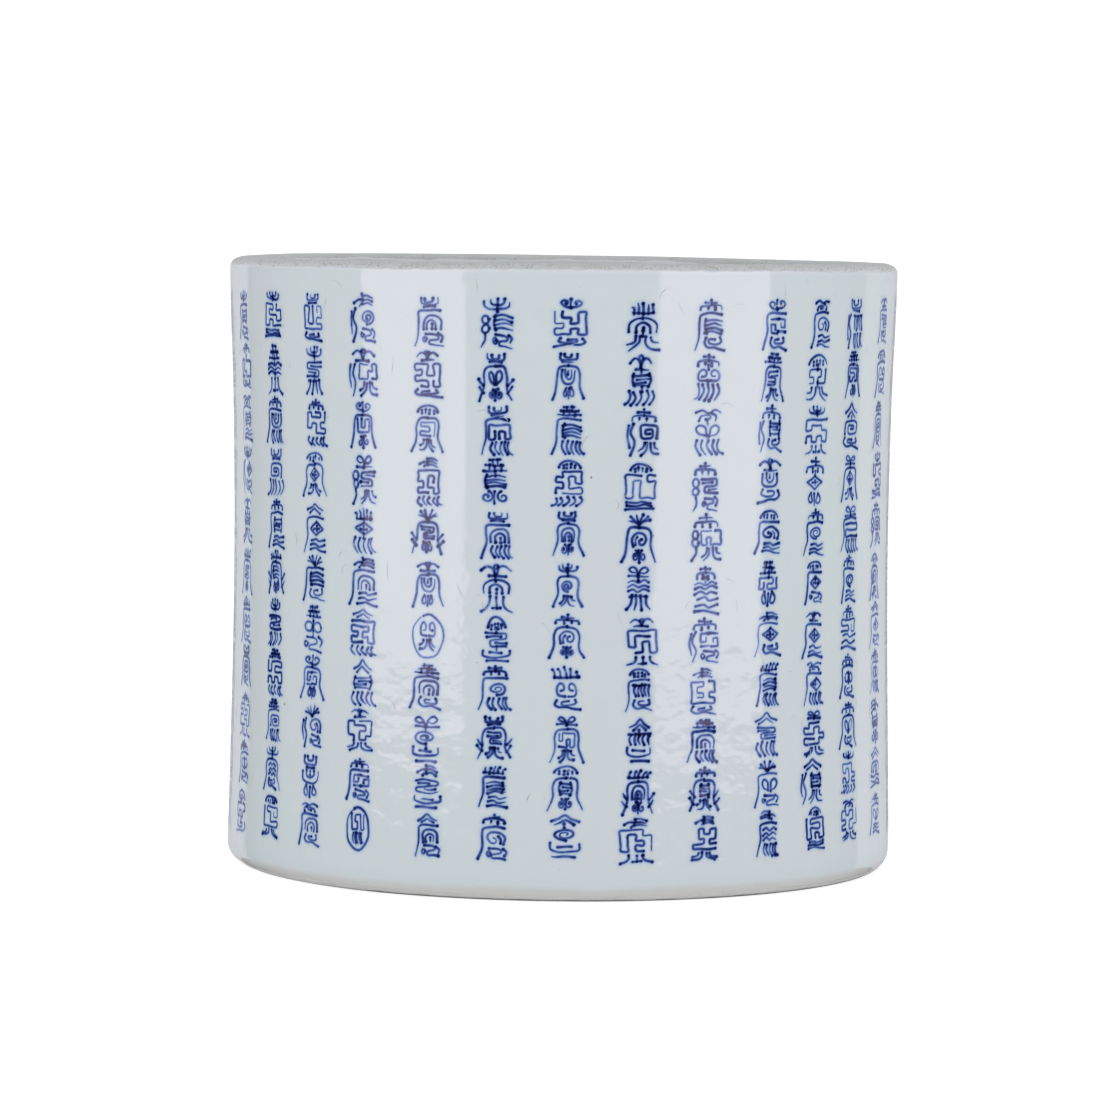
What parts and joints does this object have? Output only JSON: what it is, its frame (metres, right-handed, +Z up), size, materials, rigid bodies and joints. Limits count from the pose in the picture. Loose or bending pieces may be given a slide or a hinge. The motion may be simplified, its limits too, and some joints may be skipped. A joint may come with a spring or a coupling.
{
  "type": "brush pot",
  "caption": "Cylindrical porcelain brush pot with a waisted wall, bare rounded lip and foot ring, clear glaze and columns of underglaze blue signs.",
  "frame": {"origin": "centre of the plane that the foot ring stands on", "axes": "+Z up along the pot's axis; -Y faces the front, with one painted column 1.2 degrees to its right"},
  "size_m": [0.184, 0.184, 0.1674],
  "materials": {
    "lip_clay": "bare fired porcelain, dry, with fine brown specks",
    "body_clay": "bare fired porcelain",
    "foot_clay": "bare fired porcelain, worn smooth",
    "clear_glaze": "clear, slightly blue glaze, glossy, with a faint orange-peel ripple",
    "cobalt_blue": "cobalt painting under a glossy clear glaze"
  },
  "bodies": {
    "root": {"wall": "lip_clay", "base_slab": "body_clay", "foot_ring": "foot_clay", "luting_coil": "body_clay", "outer_glaze": "clear_glaze", "inner_glaze": "clear_glaze", "base_glaze": "clear_glaze", "cobalt_painting": "cobalt_blue"}
  },
  "joints": []
}
